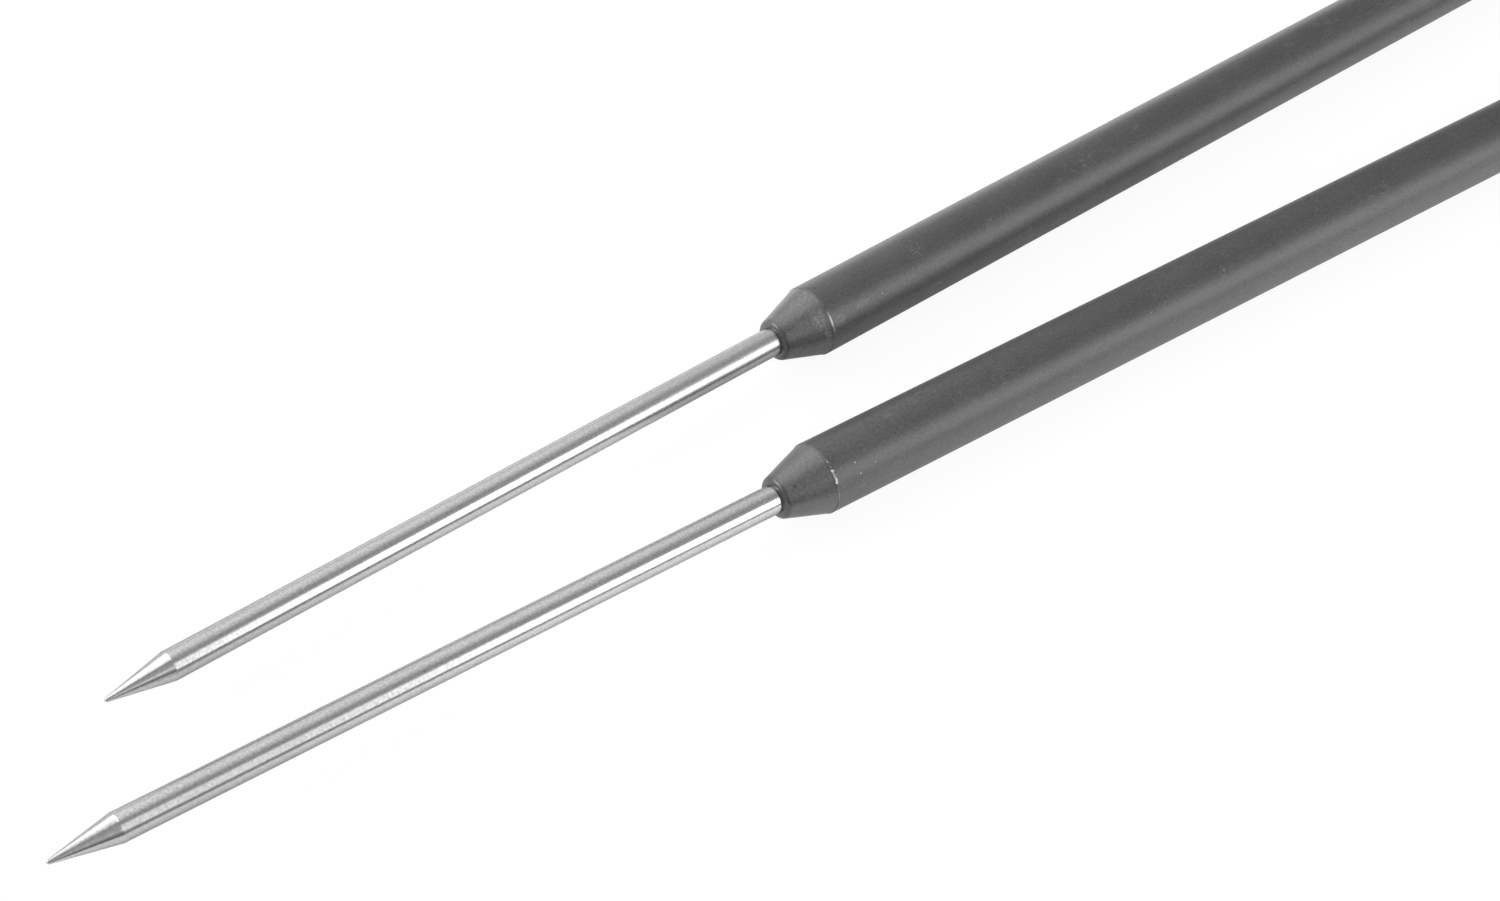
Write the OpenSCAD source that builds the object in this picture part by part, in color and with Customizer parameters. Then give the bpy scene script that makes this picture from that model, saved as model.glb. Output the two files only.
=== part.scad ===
// Pair of long-reach needle probes for an oscilloscope's differential input.
// Each probe is a ground steel needle, screwed into a brass chuck inside a plastic handle tube.
// A damping resistor and a link wire run down the tube to a 4 mm lead socket in its rear end.
//
// Both probes are alike. A piece is drawn along +X, from the point to the rear, with zero at the
// front edge of the handle tube, and at_a() and at_b() lay it in its place in the pair.
// The pair lies on Z = 0, centred on X and Y.

/* [Pair] */
// Clear gap between the two handles, level with the front edge of probe B
pair_gap = 9.3; // [6:0.1:30]
// How far the front edge of probe B lies behind that of probe A
pair_stagger = 12.55; // [0:0.05:40]
// Angle at which probe B spreads away from probe A towards the rear
pair_splay = 3.2; // [0:0.1:4]

/* [Needle] */
// Diameter of the bare shank
needle_d = 3.15; // [2.4:0.05:4.4]
// Length that stands out of the nose, point included
needle_exposed = 83.1; // [40:0.1:110]
// Length of the ground point
point_length = 7.05; // [3:0.05:12]
// Radius that blunts the very end of the point
point_round = 0.25; // [0.1:0.05:0.5]
// Height of the shoulder that stops the shank against the nose
shoulder_step = 0.18; // [0.16:0.01:0.3]
// Height of the second step, down to the screwed end
thread_step = 0.15; // [0.1:0.01:0.3]
// Length of the screwed end
thread_length = 8; // [4:0.5:12]

/* [Nose cone] */
// Length of the cone in front of the handle tube
nose_length = 5.4; // [3:0.1:10]
// Width of the rim round the shank at the front of the cone
nose_rim = 0.58; // [0.5:0.02:1.2]
// Radius that rounds the front of the cone
nose_lip_round = 0.4; // [0.1:0.05:0.45]
// How far the cone's base lies below the surface of the handle
nose_set_in = 0.06; // [0.02:0.01:0.2]
// Length of the spigot that holds the cone in the tube
nose_spigot = 12; // [5:0.5:20]

/* [Handle] */
// Outer diameter of the handle
handle_d = 8; // [7.8:0.1:14]
// Wall of the handle tube
handle_wall = 0.9; // [0.6:0.05:1]
// Length of the handle tube
handle_length = 140; // [120:1:220]

/* [Chuck] */
// Length of the chuck
chuck_length = 20; // [17:0.5:28]
// Depth of the threaded hole past the end of the needle
thread_run_out = 1; // [0.5:0.5:2]
// Depth of the hole for the resistor's lead
lead_hole_depth = 5; // [2:0.5:6]
// Number of grooves that key the chuck in the tube
key_grooves = 3; // [1:1:4]
// Width of a key groove
key_groove_width = 1; // [0.5:0.1:1.5]
// Depth of a key groove
key_groove_depth = 0.2; // [0.1:0.05:0.4]

/* [Resistor] */
// Length of the ceramic body
resistor_length = 6.5; // [4:0.5:10]
// Diameter of the ceramic body
resistor_d = 2.2; // [1.6:0.1:2.4]
// Thickness of the metal end caps
end_cap_wall = 0.15; // [0.1:0.05:0.25]
// How far an end cap reaches over the body
end_cap_grip = 1.2; // [0.6:0.1:1.6]
// Diameter of the wire leads
lead_d = 0.6; // [0.4:0.05:0.8]
// Free length of the front lead, from the chuck to the resistor
front_lead = 9; // [5:0.5:14]
// Free length of the rear lead, from the resistor to the ferrule
rear_lead = 9; // [5:0.5:14]
// Wall of the insulating sleeve over the resistor
resistor_sleeve_wall = 0.45; // [0.3:0.05:0.6]
// How far that sleeve reaches past each end of the resistor
resistor_sleeve_reach = 4.5; // [2:0.5:4.5]

/* [Link wire] */
// Diameter of the bare wire
wire_d = 1; // [0.6:0.1:1.2]
// Length of bare wire between the insulation and what holds the wire
bare_wire = 2; // [1:0.5:5]
// Wall of the wire's insulation
insulation_wall = 0.55; // [0.3:0.05:0.8]
// Length of the ferrule that joins the wire to the resistor's lead
ferrule_length = 6; // [4:0.5:7]
// Wall of the ferrule round the wire
ferrule_wall = 0.35; // [0.2:0.05:0.5]

/* [Lead socket] */
// Bore of the socket
socket_d = 4; // [3:0.1:4.2]
// Depth of the bore
socket_depth = 20; // [14:0.5:26]
// Wall of the contact round the bore
contact_wall = 0.5; // [0.35:0.05:0.55]
// Thickness of the contact in front of the bore, which carries the clip
contact_floor = 3; // [2.4:0.1:5]
// Length of the solder cup
cup_length = 5; // [3:0.5:8]
// Wall of the solder cup
cup_wall = 0.6; // [0.3:0.05:0.8]
// Thickness of the cup's floor
cup_floor = 1; // [0.5:0.1:2]
// Thickness of the spring clip
clip_thickness = 0.8; // [0.5:0.1:1.2]
// Depth of the groove that holds the clip
clip_groove = 0.3; // [0.2:0.05:0.4]
// Opening of the spring clip
clip_opening = 1.6; // [1:0.1:2.5]

/* [End cap] */
// Thickness of the cap's flange
flange = 3; // [2:0.1:6]
// Length of the cap's spigot in the tube
cap_spigot = 6; // [3:0.5:9]
// Radius that rounds the cap's rear edge
cap_round = 0.6; // [0.2:0.1:1]
// Room round the socket's mouth in the cap
mouth_room = 0.3; // [0.2:0.05:0.3]
// Width of the bevel that leads a plug into the cap
mouth_bevel = 0.5; // [0.2:0.05:0.6]
// How far the contact lies in from the front of the flange
contact_set_in = 1; // [0.5:0.1:2]

/* [Fits] */
// Radial room of a piece that is pushed into a seat
seat_room = 0.02; // [0.01:0.01:0.04]
// Bevel on the edges of the handle tube and of the end cap
edge_break = 0.1; // [0.05:0.01:0.2]

/* [Hidden] */

$fn = 96;
arc_steps = 8;
through = 1;

// Radii of the needle, from the shank to the screwed end
needle_r = needle_d / 2;
journal_r = needle_r - shoulder_step;
thread_r = journal_r - thread_step;

// Radii of the handle and of what is pushed into it
handle_r = handle_d / 2;
tube_r = handle_r - handle_wall;
plug_r = tube_r - seat_room;
nose_base_r = handle_r - nose_set_in;
nose_front_r = needle_r + nose_rim;
nose_angle = atan2(nose_base_r - nose_front_r, nose_length);

// Places along the probe, from the point to the rear
point_x = -nose_length - needle_exposed;
chuck_x = nose_spigot;
chuck_end_x = chuck_x + chuck_length;
resistor_x = chuck_end_x + front_lead + end_cap_wall;
resistor_end_x = resistor_x + resistor_length;
ferrule_x = resistor_end_x + end_cap_wall + rear_lead;
ferrule_end_x = ferrule_x + ferrule_length;
rear_x = handle_length + flange;
contact_end_x = handle_length - contact_set_in;
socket_floor_x = contact_end_x - socket_depth;
contact_x = socket_floor_x - contact_floor;
cup_x = contact_x - cup_length;
cap_spigot_x = handle_length - cap_spigot;
clip_x = contact_x + (contact_floor - clip_thickness) / 2;
bush_x = clip_x + clip_thickness;

// Radii inside the handle
lead_r = lead_d / 2;
wire_r = wire_d / 2;
resistor_r = resistor_d / 2;
resistor_cap_r = resistor_r + seat_room + end_cap_wall;
ferrule_r = wire_r + seat_room + ferrule_wall;
insulation_r = wire_r + seat_room + insulation_wall;
socket_r = socket_d / 2;
contact_r = socket_r + contact_wall;
cup_r = wire_r + seat_room + cup_wall;
clip_r = (contact_r + tube_r) / 2;
mouth_r = socket_r + mouth_room;

// The wire runs from half way into the ferrule to the floor of the solder cup
wire_x = ferrule_x + ferrule_length / 2;
wire_end_x = contact_x - cup_floor;

// Where the pair lies: B against A, and A's front edge against the middle of the pair
pitch_y = handle_d + pair_gap;
corner_x = rear_x - cap_round;
corner_y = handle_r - cap_round;
b_rear_x = pair_stagger + corner_x * cos(pair_splay) + corner_y * sin(pair_splay) + cap_round;
b_side_y = pitch_y + corner_x * sin(pair_splay) + corner_y * cos(pair_splay) + cap_round;
a_x = -(point_x + max(rear_x, b_rear_x)) / 2;
a_y = -(b_side_y - handle_r) / 2;

// Points of an arc, as [along, radius], from one angle to another
function arc(centre, r, from, to) =
    [for (i = [0 : arc_steps])
        let (angle = from + (to - from) * i / arc_steps)
        centre + r * [cos(angle), sin(angle)]];

// Angle on the point's small rounding at which the ground cone leaves it
function tangent_angle() =
    let (run = point_length - point_round)
    atan2(needle_r, run) + acos(point_round / norm([run, needle_r]));

// Solid of revolution about X, from an outline of [along, radius] points
module turned(outline) {
    rotate([0, 90, 0])
        rotate_extrude()
            polygon([for (p = outline) [p[1], p[0]]]);
}

// Plain round bar from one place to another
module bar(from, to, r) {
    translate([from, 0, 0])
        rotate([0, 90, 0])
            cylinder(h = to - from, r = r);
}

// Round hole that runs past both of its ends
module hole(from, to, r) {
    bar(from - through, to + through, r);
}

// Plain tube from one place to another
module tube(from, to, outer_r, inner_r) {
    difference() {
        bar(from, to, outer_r);
        hole(from, to, inner_r);
    }
}

// Probe A lies along X
module at_a() {
    translate([a_x, a_y, handle_r])
        children();
}

// Probe B lies beside it, set back and turned outwards
module at_b() {
    translate([a_x + pair_stagger, a_y + pitch_y, handle_r])
        rotate([0, 0, pair_splay])
            children();
}

// Steel needle: ground point, bare shank, journal in the nose and screwed end in the chuck
module needle() {
    color("silver")
        turned(concat(
            arc([point_x + point_round, 0], point_round, 180, tangent_angle()),
            [
                [point_x + point_length, needle_r],
                [-nose_length, needle_r],
                [-nose_length, journal_r],
                [chuck_x, journal_r],
                [chuck_x, thread_r],
                [chuck_x + thread_length, thread_r],
                [chuck_x + thread_length, 0]
            ]
        ));
}

// Plastic cone in front of the tube, with a rounded lip and a spigot
module nose_cone() {
    lip_r = nose_front_r - nose_lip_round * (1 - sin(nose_angle)) / cos(nose_angle);
    bore_r = journal_r + seat_room;
    color("dimgray")
        turned(concat(
            [[-nose_length, bore_r]],
            arc([nose_lip_round - nose_length, lip_r], nose_lip_round, 180, 90 + nose_angle),
            [
                [0, nose_base_r],
                [0, plug_r],
                [nose_spigot, plug_r],
                [nose_spigot, bore_r]
            ]
        ));
}

// Straight plastic tube that is held in the hand
module handle_tube() {
    color("dimgray")
        turned([
            [0, tube_r],
            [0, handle_r - edge_break],
            [edge_break, handle_r],
            [handle_length - edge_break, handle_r],
            [handle_length, handle_r - edge_break],
            [handle_length, tube_r]
        ]);
}

// Brass chuck: takes the needle in front and the resistor's lead behind
module needle_chuck() {
    groove_pitch = chuck_length / (key_grooves + 1);
    color("goldenrod")
        difference() {
            bar(chuck_x, chuck_end_x, plug_r);
            bar(chuck_x - through, chuck_x + thread_length + thread_run_out, thread_r + seat_room);
            bar(chuck_end_x - lead_hole_depth, chuck_end_x + through, lead_r + seat_room);
            for (i = [1 : key_grooves]) {
                groove_x = chuck_x + i * groove_pitch - key_groove_width / 2;
                tube(groove_x, groove_x + key_groove_width, plug_r + through, plug_r - key_groove_depth);
            }
        }
}

// Ceramic body of the damping resistor
module resistor_body() {
    color("tan")
        bar(resistor_x, resistor_end_x, resistor_r);
}

// Metal cup over one end of the resistor, drawn with its mouth towards +X from zero
module resistor_cap() {
    difference() {
        bar(-end_cap_wall, end_cap_grip, resistor_cap_r);
        bar(0, end_cap_grip + through, resistor_r + seat_room);
        hole(-end_cap_wall, 0, lead_r + seat_room);
    }
}

// The two end caps
module resistor_caps() {
    color("silver") {
        translate([resistor_x, 0, 0])
            resistor_cap();
        translate([resistor_end_x, 0, 0])
            mirror([1, 0, 0])
                resistor_cap();
    }
}

// The two wire leads, soldered into the chuck and crimped into the ferrule
module resistor_leads() {
    color("silver") {
        bar(chuck_end_x - lead_hole_depth, resistor_x, lead_r);
        bar(resistor_end_x, wire_x, lead_r);
    }
}

// Insulating sleeve over the resistor
module resistor_sleeve() {
    inner_r = resistor_cap_r + seat_room;
    color("ivory")
        tube(
            resistor_x - resistor_sleeve_reach,
            resistor_end_x + resistor_sleeve_reach,
            inner_r + resistor_sleeve_wall,
            inner_r
        );
}

// Ferrule that joins the rear lead to the link wire
module lead_ferrule() {
    color("silver")
        difference() {
            bar(ferrule_x, ferrule_end_x, ferrule_r);
            bar(ferrule_x - through, wire_x, lead_r + seat_room);
            bar(wire_x, ferrule_end_x + through, wire_r + seat_room);
        }
}

// Solid wire from the ferrule to the socket
module link_wire() {
    color("peru")
        bar(wire_x, wire_end_x, wire_r);
}

// Insulation on the link wire
module link_insulation() {
    color("firebrick")
        tube(ferrule_end_x + bare_wire, cup_x - bare_wire, insulation_r, wire_r + seat_room);
}

// Brass contact: lead socket behind, solder cup in front, groove for the clip between
module socket_contact() {
    color("gold")
        difference() {
            union() {
                bar(contact_x, contact_end_x, contact_r);
                bar(cup_x, contact_x, cup_r);
            }
            bar(socket_floor_x, contact_end_x + through, socket_r);
            bar(cup_x - through, wire_end_x, wire_r + seat_room);
            tube(clip_x, bush_x, contact_r + through, contact_r - clip_groove);
        }
}

// Open spring ring that keeps the contact from being pulled out
module contact_clip() {
    color("slategray")
        difference() {
            tube(clip_x + seat_room, bush_x - seat_room, clip_r, contact_r - clip_groove + seat_room);
            translate([clip_x - through, -clip_opening / 2, 0])
                cube([clip_thickness + 2 * through, clip_opening, tube_r + through]);
        }
}

// Insulating bush that centres the contact in the tube
module rear_bush() {
    color("ivory")
        tube(bush_x, cap_spigot_x, plug_r, contact_r + seat_room);
}

// Plastic cap that closes the tube and backs the contact
module end_cap() {
    color("dimgray")
        turned(concat(
            [
                [cap_spigot_x, contact_r + seat_room],
                [cap_spigot_x, plug_r],
                [handle_length, plug_r],
                [handle_length, handle_r - edge_break],
                [handle_length + edge_break, handle_r]
            ],
            arc([corner_x, corner_y], cap_round, 90, 0),
            [
                [rear_x, mouth_r + mouth_bevel],
                [rear_x - mouth_bevel, mouth_r],
                [contact_end_x, mouth_r],
                [contact_end_x, contact_r + seat_room]
            ]
        ));
}

at_a() needle();  // needle_a
at_a() nose_cone();  // nose_cone_a
at_a() handle_tube();  // handle_tube_a
at_a() needle_chuck();  // needle_chuck_a
at_a() resistor_body();  // resistor_body_a
at_a() resistor_caps();  // resistor_caps_a
at_a() resistor_leads();  // resistor_leads_a
at_a() resistor_sleeve();  // resistor_sleeve_a
at_a() lead_ferrule();  // lead_ferrule_a
at_a() link_wire();  // link_wire_a
at_a() link_insulation();  // link_insulation_a
at_a() socket_contact();  // socket_contact_a
at_a() contact_clip();  // contact_clip_a
at_a() rear_bush();  // rear_bush_a
at_a() end_cap();  // end_cap_a

at_b() needle();  // needle_b
at_b() nose_cone();  // nose_cone_b
at_b() handle_tube();  // handle_tube_b
at_b() needle_chuck();  // needle_chuck_b
at_b() resistor_body();  // resistor_body_b
at_b() resistor_caps();  // resistor_caps_b
at_b() resistor_leads();  // resistor_leads_b
at_b() resistor_sleeve();  // resistor_sleeve_b
at_b() lead_ferrule();  // lead_ferrule_b
at_b() link_wire();  // link_wire_b
at_b() link_insulation();  // link_insulation_b
at_b() socket_contact();  // socket_contact_b
at_b() contact_clip();  // contact_clip_b
at_b() rear_bush();  // rear_bush_b
at_b() end_cap();  // end_cap_b
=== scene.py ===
"""Looks of a pair of long-reach needle probes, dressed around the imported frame.

Each probe is a ground steel needle in a plastic nose cone, a plastic handle tube, and an end cap
with a brass lead socket. The pieces that show are turned again here with finer edges and get their
finish. The pieces inside the handle keep their CAD meshes and get theirs. Lengths are in metres.
"""

import logging
import math
from abc import ABC, abstractmethod
from dataclasses import dataclass, field
from enum import Enum
from functools import reduce
from typing import Callable, ClassVar, Sequence

import bmesh
import bpy
from mathutils import Matrix, Vector, noise


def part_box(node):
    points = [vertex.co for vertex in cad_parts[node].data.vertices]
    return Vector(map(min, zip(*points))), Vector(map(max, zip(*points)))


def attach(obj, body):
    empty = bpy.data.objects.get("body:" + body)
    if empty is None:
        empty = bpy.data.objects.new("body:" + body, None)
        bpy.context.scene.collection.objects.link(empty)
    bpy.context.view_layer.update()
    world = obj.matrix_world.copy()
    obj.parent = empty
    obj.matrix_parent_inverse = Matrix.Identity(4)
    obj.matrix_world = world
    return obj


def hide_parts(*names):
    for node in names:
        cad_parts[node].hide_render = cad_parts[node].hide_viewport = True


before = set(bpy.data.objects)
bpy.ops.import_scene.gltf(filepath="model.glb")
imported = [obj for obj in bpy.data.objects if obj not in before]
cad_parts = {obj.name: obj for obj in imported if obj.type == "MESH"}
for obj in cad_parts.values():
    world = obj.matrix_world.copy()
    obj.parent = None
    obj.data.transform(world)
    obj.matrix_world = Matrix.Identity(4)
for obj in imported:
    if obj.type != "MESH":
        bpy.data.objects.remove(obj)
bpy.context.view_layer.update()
MM = 0.001
NOISE_MEAN = 0.5

Colour = tuple[float, float, float]
Socket = bpy.types.NodeSocket
Sockets = dict[str, Socket]
Solid = bmesh.types.BMesh

log = logging.getLogger("probes")


# Where the probes lie


class Side(Enum):
    """The two probes of the pair, by the ending of their nodes' names."""

    A = "a"
    B = "b"

    @property
    def body(self) -> str:
        """Name of the body that this probe's pieces ride on."""
        return f"probe_{self.value}"

    def node(self, piece: str) -> str:
        """Name of this probe's CAD node for a piece."""
        return f"{piece}_{self.value}"

    @property
    def seed(self) -> float:
        """Shift in millimetres that gives each probe its own marks."""
        return {Side.A: 0.0, Side.B: 411.0}[self]


@dataclass(frozen=True)
class Place:
    """Where one probe lies, read off the frame: its front edge of the handle and its direction."""

    side: Side
    shoulder: Vector
    turn: float

    @classmethod
    def of(cls, side: Side) -> "Place":
        """Finds a probe's place from pieces that are alike at both of their ends.

        Args:
            side: the probe.

        Returns:
            The place. The middle of such a piece's box lies on the probe's axis.
        """
        front, back = middle(side.node("resistor_body")), middle(side.node("rear_bush"))
        along = (back - front).normalized()
        half = size_of("handle_tube").x / 2
        return cls(side, middle(side.node("handle_tube")) - along * half, math.atan2(along.y, along.x))

    @property
    def matrix(self) -> Matrix:
        """Turns a piece drawn along +X from the front edge of the handle into its place."""
        return Matrix.Translation(self.shoulder) @ Matrix.Rotation(self.turn, 4, "Z")


def middle(node: str) -> Vector:
    """Middle of a CAD node's box."""
    low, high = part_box(node)
    return (low + high) / 2


def size_of(piece: str) -> Vector:
    """Length, width and height of probe A's piece. Probe A lies along X."""
    low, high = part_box(Side.A.node(piece))
    return high - low


def start_of(piece: str) -> float:
    """Where probe A's piece starts, counted along the probe from the front edge of its handle."""
    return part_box(Side.A.node(piece))[0].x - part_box(Side.A.node("handle_tube"))[0].x


def end_of(piece: str) -> float:
    """Where probe A's piece ends, counted along the probe from the front edge of its handle."""
    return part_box(Side.A.node(piece))[1].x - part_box(Side.A.node("handle_tube"))[0].x


# Turned pieces


@dataclass(frozen=True)
class Corner:
    """A corner of a turned outline: place along the probe, radius, and run of its rounding."""

    along: float
    radius: float
    rounding: float = 0.0


@dataclass(frozen=True)
class Outline:
    """Half section of a turned piece, spun about the probe's axis."""

    corners: Sequence[Corner]
    closed: bool = True
    segments: int = 6
    steps: int = 128
    ring_pitch: float = 4 * MM
    hold: float = 0.12 * MM
    shortest: float = 0.72 * MM
    crisp: float = math.radians(28)
    merge: float = 1e-7
    collapse: float = 1e-8

    def spin(self) -> Solid:
        """Rounds the corners and spins the half section into a closed solid along +X.

        Returns:
            The solid, with its normals outwards and its sharp edges marked.
        """
        solid = bmesh.new()
        points = [solid.verts.new((c.along, c.radius, 0)) for c in self.corners]
        for start, end in zip(points, points[1:]):
            solid.edges.new((start, end))
        if self.closed:
            solid.edges.new((points[-1], points[0]))
        for point, corner in zip(points, self.corners):
            if corner.rounding > 0:
                bmesh.ops.bevel(
                    solid,
                    geom=[point],
                    offset=corner.rounding,
                    segments=self.segments,
                    profile=0.5,
                    affect="VERTICES",
                    material=-1,
                )
        self.divide(solid)
        bmesh.ops.spin(
            solid,
            geom=solid.verts[:] + solid.edges[:],
            cent=(0, 0, 0),
            axis=(1, 0, 0),
            angle=math.tau,
            steps=self.steps,
            use_merge=True,
        )
        bmesh.ops.remove_doubles(solid, verts=solid.verts[:], dist=self.merge)
        bmesh.ops.dissolve_degenerate(solid, edges=solid.edges[:], dist=self.collapse)
        bmesh.ops.recalc_face_normals(solid, faces=solid.faces[:])
        for face in solid.faces:
            face.smooth = True
        for edge in solid.edges:
            edge.smooth = len(edge.link_faces) == 2 and edge.calc_face_angle(0) < self.crisp
        return solid

    def divide(self, half: Solid) -> None:
        """Holds each long line of the half section near its ends and divides what lies between.

        Args:
            half: the half section, as a chain of edges.
        """
        for edge in half.edges[:]:
            length = edge.calc_length()
            if length < self.shortest:
                continue
            start, end = edge.verts
            _, inner = bmesh.utils.edge_split(edge, start, self.hold / length)
            rest = next(e for e in inner.link_edges if end in e.verts)
            _, far = bmesh.utils.edge_split(rest, end, self.hold / (length - self.hold))
            between = next(e for e in far.link_edges if inner in e.verts)
            cuts = int((length - 2 * self.hold) / self.ring_pitch)
            if cuts:
                bmesh.ops.subdivide_edges(half, edges=[between], cuts=cuts)


def put(name: str, solid: Solid, place: Place) -> bpy.types.Object:
    """Makes an object of a solid drawn along +X, with its place in its mesh.

    Args:
        name: the object's name.
        solid: the solid, which is freed.
        place: the probe's place.

    Returns:
        The object, at the origin and unturned.
    """
    bmesh.ops.transform(solid, matrix=place.matrix, verts=solid.verts[:])
    mesh = bpy.data.meshes.new(name)
    solid.to_mesh(mesh)
    solid.free()
    piece = bpy.data.objects.new(name, mesh)
    bpy.context.scene.collection.objects.link(piece)
    return piece


# Node trees, and the effects that the finishes share


class Graph:
    """A node tree, with short calls for the nodes that the finishes use."""

    def __init__(self, tree: bpy.types.NodeTree) -> None:
        """Starts on a tree, which may hold nodes already."""
        self.tree = tree

    def add(self, kind: str, settings: dict[str, object] | None = None, **values: object) -> bpy.types.Node:
        """Adds a node.

        Args:
            kind: the node's type without its ShaderNode prefix.
            settings: the node's own properties.
            **values: its inputs, by name with _ for a space, or in0, in1, ... by number.

        Returns:
            The node.
        """
        node = self.tree.nodes.new(f"ShaderNode{kind}")
        for name, value in (settings or {}).items():
            setattr(node, name, value)
        for name, value in values.items():
            by_number = name.startswith("in") and name[2:].isdigit()
            self.feed(node.inputs[int(name[2:]) if by_number else name.replace("_", " ")], value)
        return node

    def feed(self, socket: Socket, value: object) -> None:
        """Links an input to another node's output, or sets its value.

        Args:
            socket: the input.
            value: the output, or a plain value.
        """
        if isinstance(value, Socket):
            self.tree.links.new(value, socket)
        else:
            socket.default_value = value

    def math(self, operation: str, *values: object, clamp: bool = False) -> Socket:
        """Adds a Math node and gives its output."""
        inputs = {f"in{i}": v for i, v in enumerate(values)}
        return self.add("Math", {"operation": operation, "use_clamp": clamp}, **inputs).outputs[0]

    def times(self, *values: object) -> Socket:
        """Multiplies values, one after the other."""
        return reduce(lambda total, value: self.math("MULTIPLY", total, value), values)

    def plus(self, start: object, more: object) -> Socket:
        """Adds a value to another."""
        return self.math("ADD", start, more)

    def minus(self, start: object, less: object, clamp: bool = False) -> Socket:
        """Takes a value from another, and clamps what is left from 0 to 1 if told to."""
        return self.math("SUBTRACT", start, less, clamp=clamp)

    def most(self, start: object, other: object) -> Socket:
        """Gives the higher of two values."""
        return self.math("MAXIMUM", start, other)

    def scaled(self, value: object, by: object, shift: object) -> Socket:
        """Multiplies a value, then adds to it."""
        return self.plus(self.times(value, by), shift)

    def less(self, share: object, depth: object) -> Socket:
        """Gives what a share times a depth leaves of 1."""
        return self.minus(1.0, self.times(share, depth))

    def noise(self, vector: object, scale: object, detail: object) -> Socket:
        """Adds noise around its mean, with scale as its cells for each unit."""
        return self.add("TexNoise", Vector=vector, Scale=scale, Detail=detail).outputs[0]

    def axes(self, vector: object) -> bpy.types.bpy_prop_collection:
        """Gives a vector's X, Y and Z."""
        return self.add("SeparateXYZ", Vector=vector).outputs

    def length(self, vector: object) -> Socket:
        """Gives a vector's length."""
        return self.add("VectorMath", {"operation": "LENGTH"}, in0=vector).outputs["Value"]

    def stretch(self, vector: object, by: object) -> Socket:
        """Multiplies a vector by another, axis by axis."""
        return self.add("VectorMath", {"operation": "MULTIPLY"}, in0=vector, in1=by).outputs[0]

    def between(self, value: object, start: object, end: object) -> Socket:
        """Rises smoothly from 0 to 1 while a value goes from start to end, upwards or downwards.

        Args:
            value: the value.
            start: where the output is 0.
            end: where the output is 1.

        Returns:
            The output, which stays at 0 before the start and at 1 after the end.
        """
        node = self.add("MapRange", {"interpolation_type": "SMOOTHSTEP"}, Value=value)
        self.feed(node.inputs["From Min"], start)
        self.feed(node.inputs["From Max"], end)
        return node.outputs["Result"]

    def within(self, away: object, reach: object, core: float) -> Socket:
        """Falls smoothly from 1, nearer than a share core of a reach, to 0 at the reach."""
        return self.between(away, reach, self.times(reach, core))

    def mix(self, share: object, start: object, end: object) -> Socket:
        """Mixes two colours, with share as how much of the end there is."""
        return self.add("Mix", {"data_type": "RGBA"}, Factor=share, in6=start, in7=end).outputs[2]

    def effect(self, kind: "Effect", vector: object, **values: object) -> Socket:
        """Places a shared effect at a vector, with its other inputs by name."""
        return self.add("Group", {"node_tree": kind.tree}, Vector=vector, **values).outputs[0]


Recipe = Callable[[Graph, Sockets], Socket]


@dataclass(frozen=True)
class Effect:
    """Shader node group that more than one finish uses, with a Vector input and one value output."""

    name: str
    output: str
    inputs: dict[str, object]
    recipe: Recipe

    @property
    def tree(self) -> bpy.types.NodeTree:
        """The group, which is built the first time.

        Returns:
            The group. Inputs whose default is a tuple are vectors, and the others are values.
        """
        known = bpy.data.node_groups.get(self.name)
        if known:
            return known
        tree = bpy.data.node_groups.new(self.name, "ShaderNodeTree")
        for label, default in {"Vector": (0.0, 0.0, 0.0), **self.inputs}.items():
            kind = "NodeSocketVector" if isinstance(default, tuple) else "NodeSocketFloat"
            tree.interface.new_socket(label, in_out="INPUT", socket_type=kind).default_value = default
        tree.interface.new_socket(self.output, in_out="OUTPUT", socket_type="NodeSocketFloat")
        graph = Graph(tree)
        entry = tree.nodes.new("NodeGroupInput")
        leave = tree.nodes.new("NodeGroupOutput")
        graph.feed(leave.inputs[self.output], self.recipe(graph, {s.name: s for s in entry.outputs}))
        return tree


def shared(name: str, output: str, **inputs: object) -> Callable[[Recipe], Effect]:
    """Makes a recipe into a shared effect.

    Args:
        name: the group's name.
        output: the name of its output.
        **inputs: the defaults of its inputs other than Vector.

    Returns:
        What turns the recipe below it into the effect.
    """
    return lambda recipe: Effect(name, output, inputs, recipe)


@shared("fine_marks", "Height", Cells=(10.0, 1.0, 1.0), Detail=2.0)
def fine_marks(g: Graph, i: Sockets) -> Socket:
    """Fine parallel marks of grinding, drawing or turning. Cells is marks per millimetre by axis."""
    return g.noise(g.stretch(i["Vector"], i["Cells"]), scale=1.0, detail=i["Detail"])


@shared("mottle", "Factor", Size=2.0, Contrast=0.1)
def mottle(g: Graph, i: Sockets) -> Socket:
    """Cloudy unevenness of a surface, a factor around 1. Size is in millimetres.

    Args:
        g: the group's tree.
        i: its inputs, by name.

    Returns:
        The factor.
    """
    cloud = g.noise(i["Vector"], scale=g.math("DIVIDE", 1.0, i["Size"]), detail=4.0)
    return g.plus(g.times(g.minus(cloud, NOISE_MEAN), g.times(i["Contrast"], 2.0)), 1.0)


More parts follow.
